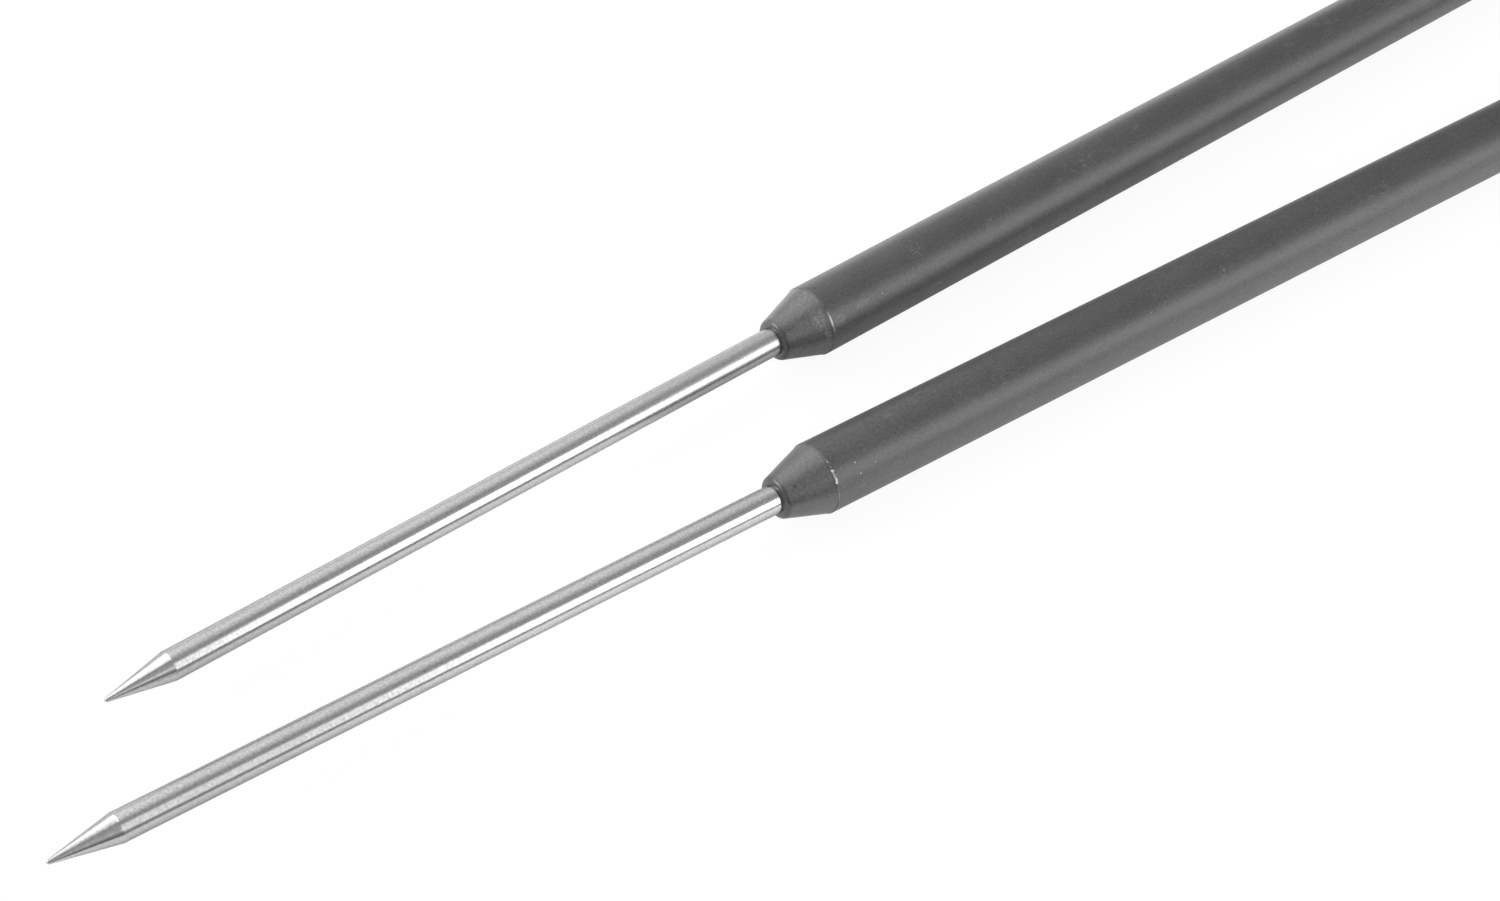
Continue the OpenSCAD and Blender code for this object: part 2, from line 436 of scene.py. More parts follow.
@shared("specks", "Mask", Spacing=1.0, Share=0.1, Size=0.2)
def specks(g: Graph, i: Sockets) -> Socket:
    """Scattered dust or pits: small discs round cell points, kept only in some cells.

    Spacing is in millimetres, Share is how many cells keep theirs, and Size is a share of Spacing.

    Args:
        g: the group's tree.
        i: its inputs, by name.

    Returns:
        The mask.
    """
    cell = g.add("TexVoronoi", Vector=i["Vector"], Scale=g.math("DIVIDE", 1.0, i["Spacing"]))
    draw = g.add("SeparateColor", Color=cell.outputs["Color"]).outputs
    kept = g.math("LESS_THAN", draw["Red"], i["Share"])
    size = g.times(i["Size"], g.plus(draw["Green"], 0.4))
    return g.times(kept, g.within(cell.outputs["Distance"], size, core=0.5))


@shared("scuffs", "Mask", Cells=(0.3, 4.0, 4.0), Share=0.5)
def scuffs(g: Graph, i: Sockets) -> Socket:
    """Short scratches in patches: stretched noise near its mean makes lines, and broad noise keeps some.

    Cells is cells per millimetre by axis, and there are more scratches where Share is higher.

    Args:
        g: the group's tree.
        i: its inputs, by name.

    Returns:
        The mask.
    """
    lines = g.noise(g.stretch(i["Vector"], i["Cells"]), scale=1.0, detail=1.0)
    line = g.between(g.math("ABSOLUTE", g.minus(lines, NOISE_MEAN)), start=0.03, end=0.006)
    broad = g.noise(i["Vector"], scale=0.35, detail=2.0)
    edge = g.minus(0.8, g.times(i["Share"], 0.4))
    return g.times(line, g.between(broad, start=edge, end=g.plus(edge, 0.1)))


@shared("edge_wear", "Mask", At=0.0, Width=0.2, Ragged=0.1)
def ring(g: Graph, i: Sockets) -> Socket:
    """Ring round the probe at a place along it, with an edge that wanders. All in millimetres.

    Args:
        g: the group's tree.
        i: its inputs, by name.

    Returns:
        The mask.
    """
    near = g.math("ABSOLUTE", g.minus(g.axes(i["Vector"])["X"], i["At"]))
    wander = g.minus(g.noise(i["Vector"], scale=3.0, detail=3.0), NOISE_MEAN)
    away = g.plus(near, g.times(wander, g.times(i["Ragged"], 4.0)))
    return g.within(away, i["Width"], core=0.4)


@shared("dot", "Mask", At=0.0, Angle=90.0, Size=0.1)
def dot(g: Graph, i: Sockets) -> Socket:
    """One small mark with an uneven edge. At and Size are in millimetres, and Angle is in degrees.

    Args:
        g: the group's tree.
        i: its inputs, by name.

    Returns:
        The mask.
    """
    spot = g.axes(i["Vector"])
    turn = g.minus(g.math("ARCTAN2", spot["Z"], spot["Y"]), g.math("RADIANS", i["Angle"]))
    radius = g.length(g.add("CombineXYZ", Y=spot["Y"], Z=spot["Z"]).outputs[0])
    away = g.add("CombineXYZ", X=g.minus(spot["X"], i["At"]), Y=g.times(turn, radius)).outputs[0]
    ragged = g.times(i["Size"], g.plus(g.noise(i["Vector"], scale=9.0, detail=2.0), 1 - NOISE_MEAN))
    return g.within(g.length(away), ragged, core=0.5)


@shared("patch", "Mask", At=0.0, Angle=90.0, Length=1.0, Spread=15.0)
def patch(g: Graph, i: Sockets) -> Socket:
    """Patch broken up by fine noise. At and Length are in millimetres, Angle and Spread in degrees.

    Args:
        g: the group's tree.
        i: its inputs, by name.

    Returns:
        The mask.
    """
    spot = g.axes(i["Vector"])
    turn = g.math("DEGREES", g.math("ARCTAN2", spot["Z"], spot["Y"]))
    along = g.math("DIVIDE", g.minus(spot["X"], i["At"]), i["Length"])
    across = g.math("DIVIDE", g.minus(turn, i["Angle"]), i["Spread"])
    away = g.plus(g.times(along, along), g.times(across, across))
    wander = g.noise(i["Vector"], scale=2.2, detail=4.0)
    near = g.between(g.plus(away, g.times(wander, 1.2)), start=1.6, end=0.5)
    return g.times(near, g.between(g.noise(i["Vector"], scale=5.0, detail=3.0), start=0.38, end=0.66))


# Finishes


def grey(value: float) -> tuple[float, float, float, float]:
    """A neutral colour."""
    return (value, value, value, 1.0)


def opaque(colour: Colour, share: float = 1.0) -> tuple[float, float, float, float]:
    """A colour at a share of its brightness, as a colour socket takes it."""
    return (*(c * share for c in colour), 1.0)


@dataclass(frozen=True)
class Canvas:
    """What a finish is painted on: the material of one probe, and the place of each of its points.

    spot is in millimetres from the front edge of the handle, with X along the probe. own is the same,
    shifted so that random marks differ between the probes.
    """

    graph: Graph
    shader: bpy.types.Node
    spot: Socket
    own: Socket

    def feed(self, **inputs: object) -> None:
        """Feeds the shader's inputs, by name with _ for a space."""
        for name, value in inputs.items():
            self.graph.feed(self.shader.inputs[name.replace("_", " ")], value)

    def relief(self, *layers: tuple[Socket, float]) -> Socket:
        """Lays relief on relief.

        Args:
            *layers: the height from 0 to 1 and the depth in metres of each, from the lowest up.

        Returns:
            The normal.
        """
        below: dict[str, Socket] = {}
        for height, depth in layers:
            node = self.graph.add("Bump", Height=height, Distance=depth, Strength=1.0, **below)
            below = {"Normal": node.outputs[0]}
        return below["Normal"]


@dataclass(frozen=True)
class Finish(ABC):
    """A finish, made once for each probe so that its marks follow that probe's own axis."""

    name: str

    def material(self, place: Place) -> bpy.types.Material:
        """Gives the finish's material for a probe, built the first time.

        Args:
            place: the probe's place.

        Returns:
            The material.
        """
        label = f"{self.name}_{place.side.value}"
        known = bpy.data.materials.get(label)
        if known:
            return known
        made = bpy.data.materials.new(label)
        made.use_nodes = True
        graph = Graph(made.node_tree)
        spot = graph.add(
            "Mapping",
            {"vector_type": "TEXTURE"},
            Vector=graph.add("TexCoord").outputs["Object"],
            Location=place.shoulder,
            Rotation=(0.0, 0.0, place.turn),
            Scale=(MM, MM, MM),
        ).outputs[0]
        own = graph.add("VectorMath", in0=spot, in1=(0.0, place.side.seed, place.side.seed)).outputs[0]
        self.paint(Canvas(graph, made.node_tree.nodes["Principled BSDF"], spot, own))
        return made

    @abstractmethod
    def paint(self, on: Canvas) -> None:
        """Fills a material with the finish.

        Args:
            on: the material.
        """


@dataclass(frozen=True)
class GroundSteel(Finish):
    """Steel ground bright between centres, with fine marks round it, a haze towards its rear, and rims
    darkened by an edge tint that paints shade.
    """

    tone: float = 0.5
    # Grey edge tint that darkens the needle's rims: painted shade, standing in for the shaded floor that they
    # reflect.
    rim_tint: float = 0.55
    grit: float = 0.3
    speck_depth: float = 0.35
    roughness: float = 0.17
    rough_swing: float = 0.5
    rough_least: float = 0.75
    scuff_share: float = 0.4
    dull: float = 0.2
    haze: float = 0.0
    haze_start: float = -42.0
    haze_end: float = -14.0
    grind_depth: float = 0.0022 * MM
    grain_depth: float = 0.004 * MM

    def paint(self, on: Canvas) -> None:
        """Grinding marks round the needle, faint clouding and grit, specks, scuffs, and haze.

        Args:
            on: the material.
        """
        g = on.graph
        fine = g.effect(fine_marks, on.own, Cells=(14.0, 0.5, 0.5), Detail=2.0)
        coarse = g.effect(fine_marks, on.own, Cells=(3.0, 0.6, 0.6), Detail=2.0)
        cloud = g.effect(mottle, on.own, Size=3.0, Contrast=0.06)
        grit = g.effect(mottle, on.own, Size=0.3, Contrast=self.grit)
        dust = g.effect(specks, on.own, Spacing=0.7, Share=0.05, Size=0.12)
        scuff = g.effect(scuffs, on.own, Cells=(0.25, 5.0, 5.0), Share=0.5)
        rough = g.times(g.scaled(coarse, self.rough_swing, self.rough_least), self.roughness)
        rough = g.plus(rough, g.times(g.plus(dust, g.times(scuff, self.scuff_share)), self.dull))
        hazy = g.between(g.axes(on.spot)["X"], self.haze_start, self.haze_end)
        on.feed(
            Base_Color=g.times(cloud, grit, self.tone, g.less(dust, self.speck_depth)),
            Metallic=1.0,
            # Painted shade: the edge tint darkens the rims.
            Specular_Tint=grey(self.rim_tint),
            Roughness=g.plus(rough, g.times(hazy, self.haze)),
            Normal=on.relief((fine, self.grind_depth), (coarse, self.grain_depth)),
        )


@dataclass(frozen=True)
class Rub:
    """A rubbed patch: place along the probe and half length in millimetres, angles in degrees."""

    at: float
    angle: float
    length: float
    spread: float
    pale: float


@dataclass(frozen=True)
class Speck:
    """A grain of dust, or a pit if pale is below 0: place and size in millimetres, angle in degrees."""

    at: float
    angle: float
    size: float
    pale: float


@dataclass(frozen=True)
class DirtAndShadeRing:
    """A darker ring, for dirt in a joint and for painted shade: place along the probe and half width in
    millimetres, and how dark it is.
    """

    at: float
    width: float
    depth: float


@dataclass(frozen=True)
class MouldedPlastic(Finish):
    """Dark grey moulded plastic with a fine satin skin, handling marks, dirt in its joints, and, where given,
    darker rings of painted shade and pale marks of painted highlight.
    """

    tone: float = 0.06
    worn_at: float = 0.0
    worn_width: float = 0.1
    worn_pale: float = 0.06
    dirt_and_shade: Sequence[DirtAndShadeRing] = ()
    pits: float = 0.03
    pit_depth: float = 0.45
    dust_pale: float = 0.4
    scuff: float = 0.5
    scuff_pale: float = 0.1
    scuff_rough: float = 0.1
    rubs: Sequence[Rub] = ()
    grains: Sequence[Speck] = ()
    whitened_and_glint_tone: float = 0.68
    roughness: float = 0.42
    rough_swing: float = 0.2
    rough_least: float = 0.9
    ior: float = 1.7
    skin_depth: float = 0.009 * MM
    scuff_depth: float = 0.003 * MM

    def paint(self, on: Canvas) -> None:
        """Clouded satin skin, darker rings of dirt and of painted shade, dust, scuffs, and pale edge marks:
        whitening where the edge is rubbed or nicked, and painted highlights.

        Args:
            on: the material.
        """
        g = on.graph
        broad = g.effect(mottle, on.own, Size=6.0, Contrast=0.22)
        fine = g.effect(mottle, on.own, Size=0.28, Contrast=0.85)
        skin = g.effect(fine_marks, on.own, Cells=(5.0, 5.0, 5.0), Detail=2.0)
        dust = g.effect(specks, on.own, Spacing=1.3, Share=0.05, Size=0.07)
        pits = g.effect(specks, on.own, Spacing=0.9, Share=self.pits, Size=0.14)
        scuff = g.effect(scuffs, on.own, Cells=(0.5, 3.0, 3.0), Share=self.scuff)
        worn = g.effect(ring, on.own, At=self.worn_at, Width=self.worn_width, Ragged=0.06)
        # Pale marks on the tube's edge: whitened plastic, and painted highlights.
        nicks_and_glints = g.add("Attribute", {"attribute_name": "whitened"}).outputs["Fac"]
        dark = g.times(pits, self.pit_depth)
        # Darker rings: dirt in a joint, and painted shade on the nose cone's lip, front face and seam.
        for dirt_and_shade in self.dirt_and_shade:
            mark = g.effect(ring, on.own, At=dirt_and_shade.at, Width=dirt_and_shade.width, Ragged=0.03)
            dark = g.most(dark, g.times(mark, dirt_and_shade.depth))
        tone = g.times(broad, fine, self.tone, g.minus(1.0, dark))
        pale = g.most(g.times(dust, self.dust_pale), g.times(scuff, self.scuff_pale))
        pale = g.most(pale, g.times(worn, self.worn_pale))
        for rub in self.rubs:
            mark = g.effect(patch, on.spot, At=rub.at, Angle=rub.angle, Length=rub.length, Spread=rub.spread)
            pale = g.most(pale, g.times(mark, rub.pale))
        for grain in self.grains:
            mark = g.effect(dot, on.spot, At=grain.at, Angle=grain.angle, Size=grain.size)
            if grain.pale > 0:
                pale = g.most(pale, g.times(mark, grain.pale))
            else:
                tone = g.times(tone, g.less(mark, -grain.pale))
        rough = g.times(g.scaled(skin, self.rough_swing, self.rough_least), self.roughness)
        on.feed(
            Base_Color=g.mix(g.most(pale, nicks_and_glints), tone, grey(self.whitened_and_glint_tone)),
            Roughness=g.plus(rough, g.times(scuff, self.scuff_rough)),
            IOR=self.ior,
            Normal=on.relief((skin, self.skin_depth), (scuff, self.scuff_depth)),
        )


@dataclass(frozen=True)
class TurnedMetal(Finish):
    """Brass, copper, tin or spring steel, with the marks of turning or drawing."""

    colour: Colour
    roughness: float
    cells: tuple[float, float, float] = (8.0, 0.5, 0.5)
    depth: float = 0.003 * MM
    tarnished: float = 0.55
    tarnish_start: float = 1.1
    rough_swing: float = 0.6
    rough_least: float = 0.7
    dust_rough: float = 0.3

    def paint(self, on: Canvas) -> None:
        """Tool marks, slight tarnish, and dust.

        Args:
            on: the material.
        """
        g = on.graph
        tool = g.effect(fine_marks, on.own, Cells=self.cells, Detail=2.0)
        tarnish = g.effect(mottle, on.own, Size=1.5, Contrast=0.3)
        dust = g.effect(specks, on.own, Spacing=0.8, Share=0.05, Size=0.1)
        share = g.most(g.minus(self.tarnish_start, tarnish, clamp=True), dust)
        rough = g.times(g.scaled(tool, self.rough_swing, self.rough_least), self.roughness)
        on.feed(
            Base_Color=g.mix(share, opaque(self.colour), opaque(self.colour, self.tarnished)),
            Metallic=1.0,
            Roughness=g.plus(rough, g.times(dust, self.dust_rough)),
            Normal=on.relief((tool, self.depth)),
        )


@dataclass(frozen=True)
class PlainSleeve(Finish):
    """Soft or glassy insulation: sleeves, bushes and wire coverings."""

    colour: Colour
    roughness: float = 0.45
    dim: float = 0.7
    dim_start: float = 1.05
    dust_share: float = 0.5
    dust_tone: float = 0.35
    scuff_rough: float = 0.2
    skin_depth: float = 0.003 * MM

    def paint(self, on: Canvas) -> None:
        """Slight clouding, dust, and rub marks along the probe.

        Args:
            on: the material.
        """
        g = on.graph
        cloud = g.effect(mottle, on.own, Size=1.2, Contrast=0.2)
        dust = g.effect(specks, on.own, Spacing=0.8, Share=0.06, Size=0.09)
        scuff = g.effect(scuffs, on.own, Cells=(0.4, 4.0, 4.0), Share=0.4)
        skin = g.effect(fine_marks, on.own, Cells=(4.0, 4.0, 4.0), Detail=2.0)
        share = g.minus(self.dim_start, cloud, clamp=True)
        colour = g.mix(share, opaque(self.colour), opaque(self.colour, self.dim))
        on.feed(
            Base_Color=g.mix(g.times(dust, self.dust_share), colour, grey(self.dust_tone)),
            Roughness=g.plus(self.roughness, g.times(scuff, self.scuff_rough)),
            Normal=on.relief((skin, self.skin_depth)),
        )


@dataclass(frozen=True)
class Band:
    """A painted value band: place of its middle in millimetres from the body's front end, and colour."""

    at: float
    colour: Colour


@dataclass(frozen=True)
class BandedLacquer(Finish):
    """Lacquered ceramic with value bands round it. Its front end is at start, in millimetres."""

    start: float
    bands: Sequence[Band]
    band_width: float = 0.6
    colour: Colour = (0.62, 0.5, 0.33)
    dim: float = 0.75
    dim_start: float = 1.05
    dust_share: float = 0.4
    dust_tone: float = 0.3
    roughness: float = 0.3
    depth: float = 0.01 * MM

    def paint(self, on: Canvas) -> None:
        """Painted bands at their places along the probe, under one coat of lacquer.

        Args:
            on: the material.
        """
        g = on.graph
        cloud = g.effect(mottle, on.own, Size=0.8, Contrast=0.25)
        dust = g.effect(specks, on.own, Spacing=0.6, Share=0.08, Size=0.1)
        share = g.minus(self.dim_start, cloud, clamp=True)
        colour = g.mix(share, opaque(self.colour), opaque(self.colour, self.dim))
        for band in self.bands:
            at = self.start + band.at
            painted = g.effect(ring, on.spot, At=at, Width=self.band_width / 2, Ragged=0.01)
            colour = g.mix(painted, colour, opaque(band.colour))
        on.feed(
            Base_Color=g.mix(g.times(dust, self.dust_share), colour, grey(self.dust_tone)),
            Roughness=g.times(cloud, self.roughness),
            Normal=on.relief((cloud, self.depth)),
        )


# The probe's sub-assemblies


TINNED = TurnedMetal("tinned_metal", (0.66, 0.66, 0.65), roughness=0.3, cells=(0.4, 9.0, 9.0))


@dataclass
class SubAssembly(ABC):
    """Pieces of one probe that are built and dressed together."""

    place: Place

    @abstractmethod
    def build(self) -> None:
        """Builds or dresses the pieces."""

    def stand_for(self, node: str, solid: Solid, finish: Finish, slot: str) -> None:
        """Puts a finer piece in the place of a CAD node.

        Args:
            node: the CAD node's name without the probe's ending.
            solid: the piece, drawn along +X.
            finish: its finish.
            slot: the record's material slot, which is not used.
        """
        side = self.place.side
        piece = put(f"{node}_{side.value}_finished", solid, self.place)
        piece.data.materials.append(finish.material(self.place))
        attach(piece, side.body)
        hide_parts(side.node(node))
        log.info("%s: %d faces", piece.name, len(piece.data.polygons))

    def dress(self, node: str, finish: Finish) -> None:
        """Gives a CAD node its finish.

        Args:
            node: the CAD node's name without the probe's ending.
            finish: the finish.
        """
        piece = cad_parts[self.place.side.node(node)]
        piece.data.materials.clear()
        piece.data.materials.append(finish.material(self.place))
        log.info("%s: dressed in %s", piece.name, finish.name)


@dataclass
class Needle(SubAssembly):
    """Steel needle with its ground point, and the journal and screwed end inside the probe."""

    radius: float = size_of("needle").z / 2
    point_x: float = start_of("needle")
    nose_x: float = start_of("nose_cone")
    chuck_x: float = start_of("needle_chuck")
    point_length: float = 7.05 * MM
    point_round: float = 0.25 * MM
    round_share: float = 0.999
    journal_step: float = 0.18 * MM
    thread_step: float = 0.15 * MM
    thread_length: float = 8 * MM
    thread_pitch: float = 0.5 * MM
    thread_depth: float = 0.12 * MM
    shoulder_break: float = 0.04 * MM
    handled_haze: float = 0.13

    def build(self) -> None:
        """Turns the needle. Probe B's is duller where it has been handled, next to its nose."""
        haze = self.handled_haze if self.place.side is Side.B else 0.0
        finish = GroundSteel("ground_steel", haze=haze)
        self.stand_for("needle", self.outline().spin(), finish, "ground_steel")

    def outline(self) -> Outline:
        """Draws the needle from its tip to the end of its thread, as a screw whose thread runs in rings.

        Returns:
            The half section, open along the axis.
        """
        slope = math.atan2(self.radius, self.point_length)
        blunt = self.point_round / math.tan((math.pi / 2 + slope) / 2)
        journal = self.radius - self.journal_step
        screwed = journal - self.thread_step
        end_x = self.chuck_x + self.thread_length
        crests = int(self.thread_length / self.thread_pitch)
        corners = [
            Corner(self.point_x, 0),
            Corner(self.point_x, blunt, blunt * self.round_share),
            Corner(self.point_x + self.point_length, self.radius),
            Corner(self.nose_x, self.radius, self.shoulder_break),
            Corner(self.nose_x, journal),
            Corner(self.chuck_x, journal),
        ]
        for crest in range(crests):
            start = self.chuck_x + crest * self.thread_pitch
            corners.append(Corner(start, screwed - self.thread_depth))
            corners.append(Corner(start + self.thread_pitch / 2, screwed))
        corners.append(Corner(end_x, screwed - self.thread_depth))
        corners.append(Corner(end_x, 0))
        return Outline(corners, closed=False)


@dataclass
class NoseCone(SubAssembly):
    """Plastic cone round the needle, with a rounded lip and a spigot in the tube."""

    length: float = -start_of("nose_cone")
    base_radius: float = size_of("nose_cone").z / 2
    spigot: float = end_of("nose_cone")
    front_radius: float = 2.25 * MM
    bore: float = 1.415 * MM
    spigot_radius: float = 3.08 * MM
    lip_run: float = 0.4 * MM
    base_run: float = 0.05 * MM
    spigot_run: float = 0.2 * MM
    # Painted shade: a darker ring in the seam with the tube, and darker rings over the front face and lip
    # round the needle.
    dirt_and_shade: Sequence[DirtAndShadeRing] = (
        DirtAndShadeRing(-0.04, 0.08, 0.08),
        DirtAndShadeRing(-5.38, 0.3, 0.3),
        DirtAndShadeRing(-5.2, 0.3, 0.4),
        DirtAndShadeRing(-5.05, 0.17, 0.44),
    )
    rubs: ClassVar[dict[Side, Sequence[Rub]]] = {
        Side.A: (Rub(-1.2, 150, 1.4, 14, 0.02),),
        Side.B: (Rub(-1.1, 122, 0.9, 26, 0.26), Rub(-0.6, 152, 0.5, 14, 0.26), Rub(-3.0, 116, 1.4, 9, 0.05)),
    }
    grains: ClassVar[dict[Side, Sequence[Speck]]] = {
        Side.A: (Speck(-3.95, 111, 0.22, -0.6), Speck(-2.2, 99, 0.12, -0.4), Speck(-1.4, 131, 0.12, -0.4)),
        Side.B: (Speck(-4.2, 139, 0.08, 0.2), Speck(-1.5, 100, 0.1, 0.12), Speck(-2.6, 104, 0.14, -0.4)),
    }

    def build(self) -> None:
        """Turns the cone."""
        finish = MouldedPlastic(
            "nose_plastic",
            tone=0.08,
            roughness=0.33,
            worn_pale=0.0,
            dirt_and_shade=self.dirt_and_shade,
            pits=0.08,
            rubs=self.rubs[self.place.side],
            grains=self.grains[self.place.side],
        )
        self.stand_for("nose_cone", self.outline().spin(), finish, "nose_plastic")

    def outline(self) -> Outline:
        """Draws the cone and its spigot.

        Returns:
            The half section.
        """
        corners = [
            Corner(-self.length, self.bore),
            Corner(-self.length, self.front_radius, self.lip_run),
            Corner(0, self.base_radius, self.base_run),
            Corner(0, self.spigot_radius),
            Corner(self.spigot, self.spigot_radius, self.spigot_run),
            Corner(self.spigot, self.bore),
        ]
        return Outline(corners, segments=8, ring_pitch=0.8 * MM)


@dataclass(frozen=True)
class BurrAndGlint:
    """A torn flake, a dent, or a flat painted highlight on the tube's front edge, at an angle in degrees.
    Lengths in millimetres.
    """

    angle: float
    along: float
    arc: float
    run: float
    height: float
    forward: float
    pale: float
    ragged: float = 0.5
    grain: float = 0.13
    reach: float = 2.0
    steepness: float = 2.5

    def cover(self, spot: Vector, radius: float) -> float:
        """How much of the mark lies over a point of the tube, from 0 to 1.

        Args:
            spot: the point in metres, with X along the probe from the tube's front edge.
            radius: the tube's radius in metres.

        Returns:
            The cover, with a ragged outline.
        """
        turn = math.atan2(spot.z, spot.y) - math.radians(self.angle)
        across = turn * radius / (self.arc * MM / 2)
        behind = (spot.x - self.along * MM) / (self.run * MM / 2)
        away = math.hypot(across, behind)
        if away > self.reach:
            return 0.0
        torn = self.ragged * noise.noise(spot / (self.grain * MM) + Vector((self.angle, 0, 0)))
        return min(1.0, max(0.0, self.steepness * (1 - away + torn)))


@dataclass
class HandleTube(SubAssembly):
    """Plastic tube that is held in the hand."""

    length: float = size_of("handle_tube").x
    radius: float = size_of("handle_tube").z / 2
    bore: float = 3.1 * MM
    edge_run: float = 0.09 * MM
    fine_run: float = 0.84 * MM
    fine_pitch: float = 0.06 * MM
    rubs: ClassVar[dict[Side, Sequence[Rub]]] = {
        Side.A: (Rub(5.0, 88, 8.0, 46, 0.04), Rub(6.5, 150, 3.0, 14, 0.015), Rub(30, 96, 9, 12, 0.012)),
        Side.B: (Rub(4.5, 131, 1.2, 7, 0.14), Rub(1.2, 139, 1.0, 12, 0.12), Rub(22, 118, 8, 14, 0.02)),
    }
    grains: ClassVar[dict[Side, Sequence[Speck]]] = {
        Side.A: (
            Speck(2.95, 121, 0.13, 0.5),
            Speck(3.2, 140, 0.13, 0.5),
            Speck(1.05, 120, 0.08, 0.25),
            Speck(5.3, 134, 0.2, 0.1),
            Speck(1.7, 147, 0.08, 0.15),
        ),
        Side.B: (Speck(7.55, 133, 0.1, 0.45), Speck(5.6, 130, 0.12, 0.12), Speck(2.1, 122, 0.08, 0.12)),
    }
    burrs_and_glints: ClassVar[dict[Side, Sequence[BurrAndGlint]]] = {
        Side.A: (
            BurrAndGlint(117.5, 0.08, 0.4, 0.38, 0.11, 0.14, 0.95),
            BurrAndGlint(131.5, 0.12, 0.68, 0.3, 0.1, 0.06, 0.95, 0.8),
            BurrAndGlint(136.0, 0.06, 0.34, 0.4, 0.12, 0.18, 1.0, 0.9),
            BurrAndGlint(125.0, 0.04, 1.2, 0.12, 0.04, 0.04, 0.7, 0.9),
            BurrAndGlint(102.0, 0.05, 0.2, 0.18, 0.05, 0.05, 0.7),
            BurrAndGlint(98.0, 0.05, 0.14, 0.12, 0.03, 0.03, 0.5),
            BurrAndGlint(111.0, 0.1, 0.14, 0.16, 0.04, 0.03, 0.7),
            BurrAndGlint(124.5, 0.24, 0.16, 0.12, 0.03, 0.0, 0.6),
            # A painted highlight: a pale streak with no relief, where the lower edge catches the light.
            BurrAndGlint(156.0, 0.06, 2.4, 0.08, 0.0, 0.0, 0.3, 0.4),
        ),
        Side.B: (
            # Dents in the edge. Their whitening paints the gleam where they face the light.
            BurrAndGlint(133.0, 0.11, 1.8, 0.28, -0.05, 0.0, 0.9, 0.15),
            BurrAndGlint(122.0, 0.05, 0.9, 0.1, -0.02, 0.0, 0.6, 0.3),
            BurrAndGlint(147.0, 0.16, 0.8, 0.2, -0.02, 0.0, 0.3, 0.9),
        ),
    }

    def build(self) -> None:
        """Turns the tube, tears its front edge, and paints highlights on it."""
        finish = MouldedPlastic(
            "handle_plastic",
            worn_pale=0.04,
            scuff=0.55,
            rubs=self.rubs[self.place.side],
            grains=self.grains[self.place.side],
        )
        solid = self.outline().spin()
        self.tear_and_glint(solid)
        self.stand_for("handle_tube", solid, finish, "handle_plastic")

    def outline(self) -> Outline:
        """Draws the tube, with fine rings behind its front edge for the burrs.

        Returns:
            The half section.
        """
        rings = int((self.fine_run - 2 * self.edge_run) / self.fine_pitch)
        corners = [
            Corner(0, self.bore),
            Corner(0, self.radius, self.edge_run),
            *(Corner(2 * self.edge_run + step * self.fine_pitch, self.radius) for step in range(rings)),
            Corner(self.length, self.radius, self.edge_run),
            Corner(self.length, self.bore),
        ]
        return Outline(corners, segments=4, steps=448)

    def tear_and_glint(self, solid: Solid) -> None:
        """Moves the front edge's points by the burrs and dents, and marks how pale they are: whitened
        plastic, and painted highlights where the edge catches the light.

        Args:
            solid: the tube, drawn along +X.
        """
        layer = solid.verts.layers.float.new("whitened")
        rim = self.radius - self.edge_run
        for vert in solid.verts:
            spot = vert.co.copy()
            out = math.hypot(spot.y, spot.z)
            if spot.x > self.fine_run or out < rim:
                continue
            for edge_mark in self.burrs_and_glints[self.place.side]:
                cover = edge_mark.cover(spot, self.radius)
                vert[layer] = max(vert[layer], edge_mark.pale * cover)
                vert.co += Vector((0, spot.y, spot.z)) / out * (edge_mark.height * MM) * cover
                vert.co.x -= edge_mark.forward * MM * cover * max(0.0, 1 - spot.x / self.edge_run / 2)


@dataclass
class EndCap(SubAssembly):
    """Plastic cap that closes the tube round the lead socket."""

    front_x: float = start_of("end_cap")
    tube_x: float = size_of("handle_tube").x
    rear_x: float = end_of("end_cap")
    radius: float = size_of("end_cap").z / 2
    seat: float = 2.52 * MM
    plug_radius: float = 3.08 * MM
    mouth: float = 2.3 * MM
    mouth_bevel: float = 0.5 * MM
    set_in: float = 1.0 * MM
    rear_run: float = 0.6 * MM
    edge_run: float = 0.11 * MM
    plug_run: float = 0.1 * MM
    mouth_run: float = 0.06 * MM
    worn_back: float = 0.3

    def build(self) -> None:
        """Turns the cap."""
        finish = MouldedPlastic(
            "cap_plastic",
            tone=0.062,
            roughness=0.4,
            worn_at=self.rear_x / MM - self.worn_back,
            worn_width=0.5,
            worn_pale=0.1,
            dirt_and_shade=(DirtAndShadeRing(self.tube_x / MM, 0.1, 0.3),),
            scuff=0.7,
        )
        self.stand_for("end_cap", self.outline().spin(), finish, "cap_plastic")

    def outline(self) -> Outline:
        """Draws the cap, with the seat of the socket and its mouth.

        Returns:
            The half section.
        """
        floor_x = self.tube_x - self.set_in
        corners = [
            Corner(self.front_x, self.seat),
            Corner(self.front_x, self.plug_radius, self.plug_run),
            Corner(self.tube_x, self.plug_radius),
            Corner(self.tube_x, self.radius, self.edge_run),
            Corner(self.rear_x, self.radius, self.rear_run),
            Corner(self.rear_x, self.mouth + self.mouth_bevel, self.mouth_run),
            Corner(self.rear_x - self.mouth_bevel, self.mouth, self.mouth_run),
            Corner(floor_x, self.mouth),
            Corner(floor_x, self.seat),
        ]
        return Outline(corners, segments=8, ring_pitch=0.8 * MM)


